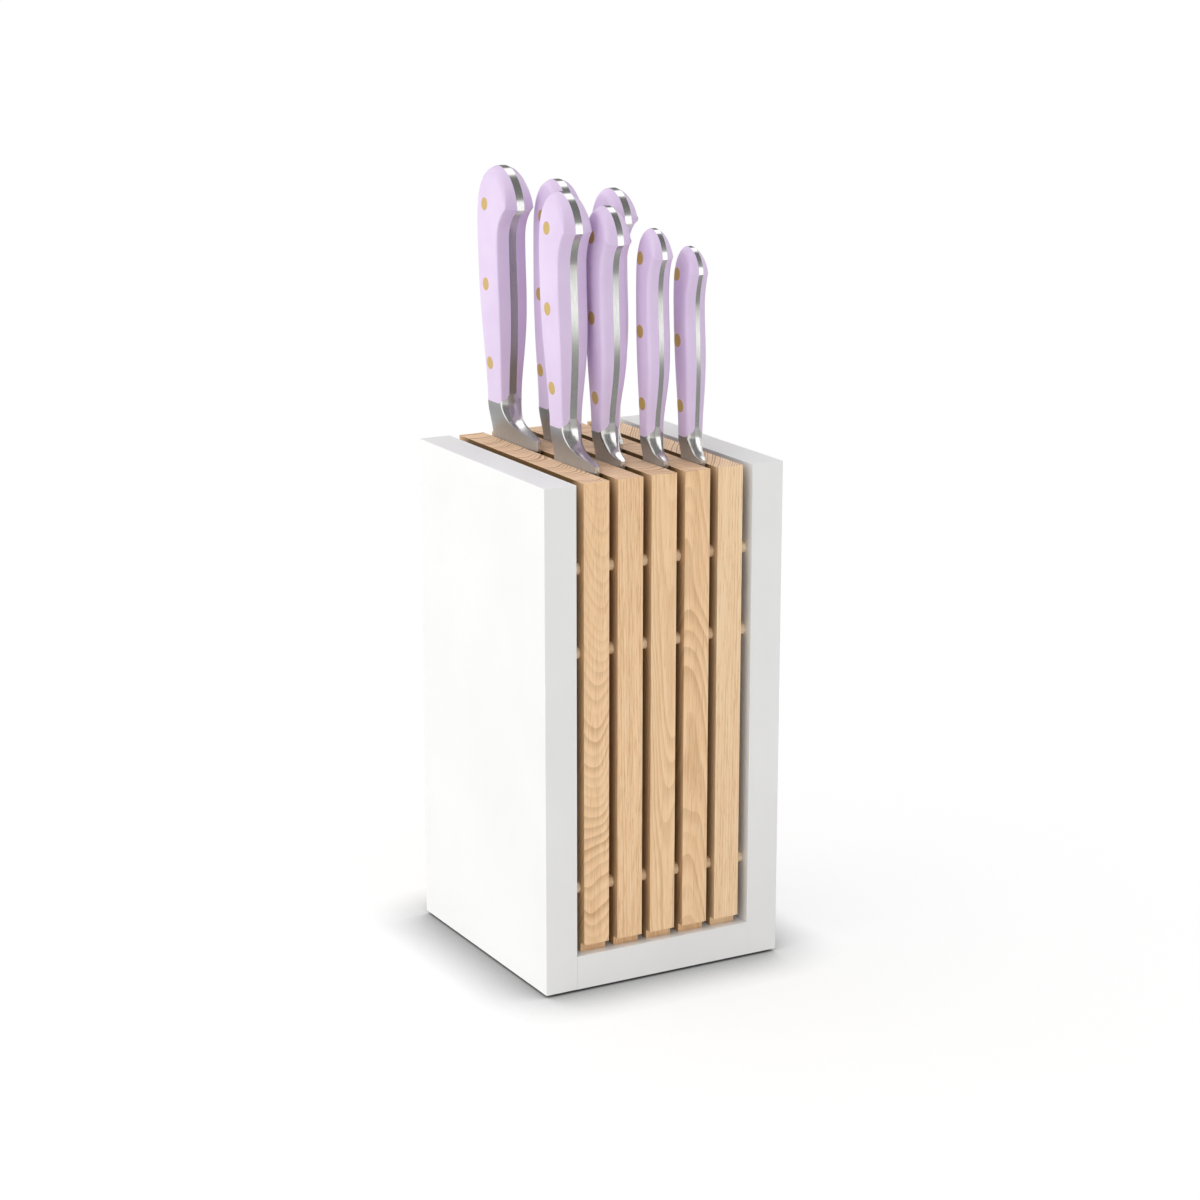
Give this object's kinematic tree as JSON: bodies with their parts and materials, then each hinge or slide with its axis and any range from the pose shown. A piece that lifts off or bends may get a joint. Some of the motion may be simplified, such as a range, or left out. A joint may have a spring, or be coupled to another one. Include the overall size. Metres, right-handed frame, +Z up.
{
  "type": "knife block with knives",
  "caption": "Upright slatted wooden knife block in a white lacquered frame, holding forged kitchen knives with riveted lilac handles.",
  "frame": {"origin": "on the floor under the middle of the block", "axes": "+Z up, front of the block towards -Y, +X to the right when facing the front"},
  "size_m": [0.13, 0.133, 0.387],
  "materials": {
    "white_lacquer": "satin white lacquer",
    "light_wood": "fine sanded, clear oiled",
    "lilac_scale": "smooth satin",
    "blade_steel": "fine ground blade, polished bolster",
    "rivet_brass": "ground flush",
    "screw_steel": "zinc plated",
    "foot_rubber": "matt"
  },
  "bodies": {
    "block": {"left_panel": "white_lacquer", "right_panel": "white_lacquer", "base_panel": "white_lacquer", "corner_dowels": "light_wood", "slat_screws": "screw_steel", "front_left_foot": "foot_rubber", "front_right_foot": "foot_rubber", "back_left_foot": "foot_rubber", "back_right_foot": "foot_rubber", "slat_1": "light_wood", "slat_2": "light_wood", "slat_3": "light_wood", "slat_4": "light_wood", "slat_5": "light_wood", "front_lower_dowel": "light_wood", "front_middle_dowel": "light_wood", "front_upper_dowel": "light_wood", "back_lower_dowel": "light_wood", "back_middle_dowel": "light_wood", "back_upper_dowel": "light_wood"},
    "chef_knife": {"chef_knife_blade": "blade_steel", "chef_knife_left_scale": "lilac_scale", "chef_knife_right_scale": "lilac_scale", "chef_knife_rivets": "rivet_brass"},
    "bread_knife": {"bread_knife_blade": "blade_steel", "bread_knife_left_scale": "lilac_scale", "bread_knife_right_scale": "lilac_scale", "bread_knife_rivets": "rivet_brass"},
    "carving_knife": {"carving_knife_blade": "blade_steel", "carving_knife_left_scale": "lilac_scale", "carving_knife_right_scale": "lilac_scale", "carving_knife_rivets": "rivet_brass"},
    "small_chef_knife": {"small_chef_knife_blade": "blade_steel", "small_chef_knife_left_scale": "lilac_scale", "small_chef_knife_right_scale": "lilac_scale", "small_chef_knife_rivets": "rivet_brass"},
    "slicing_knife": {"slicing_knife_blade": "blade_steel", "slicing_knife_left_scale": "lilac_scale", "slicing_knife_right_scale": "lilac_scale", "slicing_knife_rivets": "rivet_brass"},
    "utility_knife": {"utility_knife_blade": "blade_steel", "utility_knife_left_scale": "lilac_scale", "utility_knife_right_scale": "lilac_scale", "utility_knife_rivets": "rivet_brass"},
    "paring_knife": {"paring_knife_blade": "blade_steel", "paring_knife_left_scale": "lilac_scale", "paring_knife_right_scale": "lilac_scale", "paring_knife_rivets": "rivet_brass"}
  },
  "joints": [
    {"name": "chef_knife_lift", "type": "slide", "parent": "block", "child": "chef_knife", "axis": [0, 0, 1], "range_m": [0, 0.21]},
    {"name": "bread_knife_lift", "type": "slide", "parent": "block", "child": "bread_knife", "axis": [0, 0, 1], "range_m": [0, 0.21]},
    {"name": "carving_knife_lift", "type": "slide", "parent": "block", "child": "carving_knife", "axis": [0, 0, 1], "range_m": [0, 0.21]},
    {"name": "small_chef_knife_lift", "type": "slide", "parent": "block", "child": "small_chef_knife", "axis": [0, 0, 1], "range_m": [0, 0.17]},
    {"name": "slicing_knife_lift", "type": "slide", "parent": "block", "child": "slicing_knife", "axis": [0, 0, 1], "range_m": [0, 0.17]},
    {"name": "utility_knife_lift", "type": "slide", "parent": "block", "child": "utility_knife", "axis": [0, 0, 1], "range_m": [0, 0.15]},
    {"name": "paring_knife_lift", "type": "slide", "parent": "block", "child": "paring_knife", "axis": [0, 0, 1], "range_m": [0, 0.1]}
  ]
}
